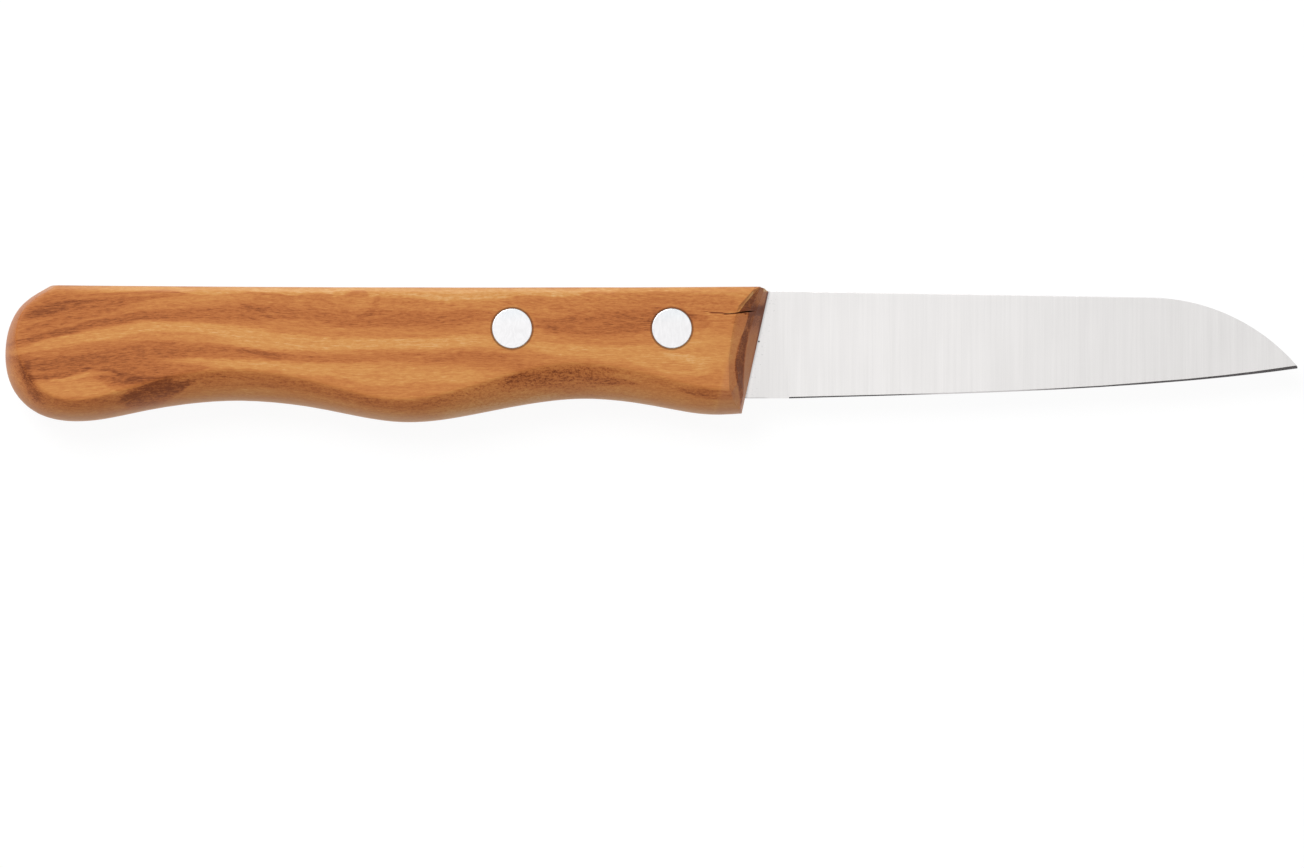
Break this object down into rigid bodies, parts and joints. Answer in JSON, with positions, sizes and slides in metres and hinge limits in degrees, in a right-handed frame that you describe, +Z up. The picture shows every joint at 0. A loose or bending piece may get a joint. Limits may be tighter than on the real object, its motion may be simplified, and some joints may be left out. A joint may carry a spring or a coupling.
{
  "type": "paring knife",
  "caption": "Short kitchen knife with a straight flat-ground blade and a waisted wooden handle that hides a riveted half tang, lying on its side.",
  "frame": {"origin": "under the middle of the knife's box, on the flat side of the handle that the knife lies on", "axes": "+X along the blade towards the tip, +Y towards the spine, +Z up through the knife's thickness"},
  "size_m": [0.1912, 0.0203, 0.013],
  "materials": {
    "olive_wood": "oiled satin",
    "ground_steel": "fine cross-ground",
    "rivet_aluminium": "ground flush with the wood"
  },
  "bodies": {
    "root": {"handle": "olive_wood", "blade": "ground_steel", "front_rivet_sleeve": "rivet_aluminium", "front_rivet_stud": "rivet_aluminium", "rear_rivet_sleeve": "rivet_aluminium", "rear_rivet_stud": "rivet_aluminium"}
  },
  "joints": []
}
